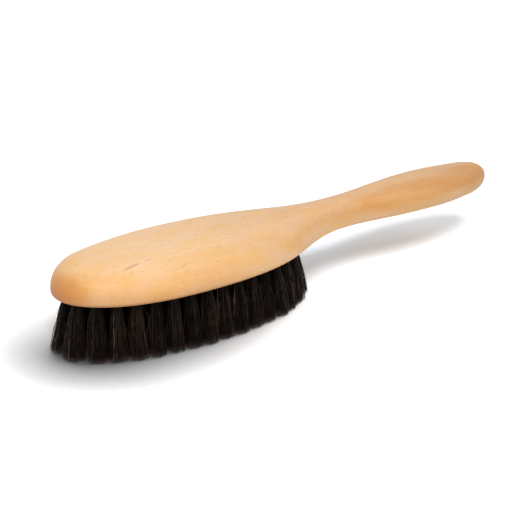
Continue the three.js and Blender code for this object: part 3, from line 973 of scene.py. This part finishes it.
class CLOTHESBRUSH_OT_set_tufts(Operator):
    """Set a tuft of bristle in every hole, row by row"""

    bl_idname = "clothes_brush.set_tufts"
    bl_label = "Set the Tufts"

    def execute(self, context):
        stock, tufts = context.scene.brush_stock, context.scene.brush_tufts
        low = np.array(CAD_BOX[0][:2]) + tufts.hair_root / 2
        high = np.array(CAD_BOX[1][:2]) - tufts.hair_root / 2
        random = np.random.default_rng(tufts.seed)
        for name, (roots, outwards, flare) in tuft_rows(stock, tufts).items():
            full = name == FULLEST_RING
            count = tufts.outer_hairs if full else tufts.inner_hairs
            leans, spacings = leans_and_spacings(name, roots, outwards, flare, tufts)
            made = [
                tuft_hairs(root, way, lean, spacing, count, stock, tufts, random)
                for root, way, lean, spacing in zip(roots, outwards, leans, spacings)
            ]
            parts = FULL_RING_PIECES if full else 1
            for part in range(parts):
                mine = made[part * len(made) // parts : (part + 1) * len(made) // parts]
                paths = np.concatenate([path for path, _ in mine])
                paths[..., :2] = np.clip(paths[..., :2], low, high)  # no stray hair passes the model's box
                tones = np.concatenate([tone for _, tone in mine])
                suffix = "_%d" % (part + 1) if full else ""
                piece = hair_mesh("tufts_" + name + suffix, paths, tones, tufts)
                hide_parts("bristles_" + name)
        return {"FINISHED"}


class CLOTHESBRUSH_OT_cut_anchors(Operator):
    """Finish the model's anchors, and cut those of the rows that the model leaves out"""

    bl_idname = "clothes_brush.cut_anchors"
    bl_label = "Cut the Anchors"

    def execute(self, context):
        wire = shared(rolled_steel_wire)
        for name in ANCHOR_NODES:
            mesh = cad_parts[name].data
            mesh.materials.clear()
            mesh.materials.append(wire)
        length, thickness = ANCHOR_SIZE
        half = thickness / 2
        rolled = thickness * ANCHOR_EDGE
        width = ANCHOR_HIGH.z - ANCHOR_LOW.z
        profile = (  # out from the middle of the wire, and up from its lower edge
            (-half, rolled), (-half + rolled, 0), (half - rolled, 0), (half, rolled),
            (half, width - rolled), (half - rolled, width), (-half + rolled, width), (-half, width - rolled),
        )
        rows = tuft_rows(context.scene.brush_stock, context.scene.brush_tufts)
        for row in BARE_ROWS:
            points, faces = [], []
            for root, outwards in zip(*rows[row][:2]):
                across = np.array((-outwards[1], outwards[0]))
                faces += tube_faces(2, len(profile), len(points))
                for end in (-length / 2, length / 2):
                    points += [(*(root + across * end + outwards * t), ANCHOR_LOW.z + h) for t, h in profile]
            piece = piece_from("anchors_" + row, points, faces, wire)
            piece.data.shade_flat()
        return {"FINISHED"}


# Stage


def lay_floor(scene):
    """A wide floor of paper at the height of the bristle tips."""
    mesh = bpy.data.meshes.new("floor")
    corners = [(x * FLOOR_HALF, y * FLOOR_HALF, 0) for x, y in ((-1, -1), (1, -1), (1, 1), (-1, 1))]
    mesh.from_pydata(corners, [], [(0, 1, 2, 3)])
    floor = bpy.data.objects.new("floor", mesh)
    mesh.materials.append(shared(seamless_white_paper))
    scene.collection.objects.link(floor)


def light_sky(scene, ambient):
    """Light from all round, which the camera, mirrors and glass see as white."""
    world = bpy.data.worlds.new("studio")
    scene.world = world
    world.use_nodes = True
    tree = world.node_tree
    tree.nodes.clear()
    seen = add_node(tree, "LightPath", out="Is Camera Ray")
    for ray in ("Is Glossy Ray", "Is Transmission Ray"):
        other = add_node(tree, "LightPath", out=ray)
        seen = add_node(tree, "Math", {0: seen, 1: other}, operation="MAXIMUM")
    strength = add_node(tree, "MapRange", {"Value": seen, "To Min": ambient, "To Max": 1})
    sky = add_node(tree, "Background", {"Color": (1, 1, 1, 1), "Strength": strength})
    add_node(tree, "OutputWorld", {"Surface": sky})


def hang_lamps(scene, level):
    """Broad lamps, each as bright as its row says, times the level."""
    for name, azimuth, elevation, width, light in LAMPS:
        azimuth, elevation = math.radians(azimuth), math.radians(elevation)
        lamp = bpy.data.lights.new(name, "SUN")
        lamp.energy = math.pi * level * light / math.sin(elevation)
        lamp.angle = math.radians(width)
        placed = bpy.data.objects.new(name, lamp)
        scene.collection.objects.link(placed)
        out = math.cos(elevation)
        way = Vector((out * math.cos(azimuth), out * math.sin(azimuth), math.sin(elevation)))
        placed.rotation_euler = way.to_track_quat("Z", "Y").to_euler()


def place_camera(scene, stage):
    """The camera at its distance from the target, turned by its roll."""
    data = bpy.data.cameras.new("camera")
    data.lens = stage.lens
    data.sensor_width = SENSOR_WIDTH
    data.clip_start = CLIP_START
    camera = bpy.data.objects.new("camera", data)
    scene.collection.objects.link(camera)
    scene.camera = camera
    back = Vector((
        math.sin(stage.azimuth) * math.cos(stage.elevation),
        -math.cos(stage.azimuth) * math.cos(stage.elevation),
        math.sin(stage.elevation),
    ))
    right = Vector((math.cos(stage.azimuth), math.sin(stage.azimuth), 0))
    upright = Matrix((right, back.cross(right), back)).transposed().to_4x4()
    turned = upright @ Matrix.Rotation(stage.roll, 4, "Z")
    camera.matrix_world = Matrix.Translation(Vector(stage.target) + back * stage.distance) @ turned


class CLOTHESBRUSH_OT_set_stage(Operator):
    """Lay the floor, hang the lights and place the camera"""

    bl_idname = "clothes_brush.set_stage"
    bl_label = "Set the Stage"

    def execute(self, context):
        scene = context.scene
        stage = scene.brush_stage
        scene.view_settings.view_transform = "Standard"
        lay_floor(scene)
        light_sky(scene, stage.ambient)
        hang_lamps(scene, stage.level)
        place_camera(scene, stage)
        return {"FINISHED"}


# Registration


OPERATORS = (
    CLOTHESBRUSH_OT_shape_stock,
    CLOTHESBRUSH_OT_set_tufts,
    CLOTHESBRUSH_OT_cut_anchors,
    CLOTHESBRUSH_OT_set_stage,
)


class VIEW3D_PT_clothes_brush(Panel):
    """The steps that dress the brush"""

    bl_label = "Clothes Brush"
    bl_idname = "VIEW3D_PT_clothes_brush"
    bl_space_type = "VIEW_3D"
    bl_region_type = "UI"
    bl_category = "Clothes Brush"

    def draw(self, context):
        for operator in OPERATORS:
            self.layout.operator(operator.bl_idname)


CLASSES = (StockSettings, TuftSettings, StageSettings, *OPERATORS, VIEW3D_PT_clothes_brush)


def register():
    for cls in CLASSES:
        bpy.utils.register_class(cls)
    bpy.types.Scene.brush_stock = PointerProperty(type=StockSettings)
    bpy.types.Scene.brush_tufts = PointerProperty(type=TuftSettings)
    bpy.types.Scene.brush_stage = PointerProperty(type=StageSettings)


def unregister():
    del bpy.types.Scene.brush_stage
    del bpy.types.Scene.brush_tufts
    del bpy.types.Scene.brush_stock
    for cls in reversed(CLASSES):
        bpy.utils.unregister_class(cls)


def main():
    """Dresses the brush, one step after the other."""
    register()
    bpy.ops.clothes_brush.shape_stock()
    bpy.ops.clothes_brush.set_tufts()
    bpy.ops.clothes_brush.cut_anchors()
    bpy.ops.clothes_brush.set_stage()


if __name__ == "__main__":
    main()
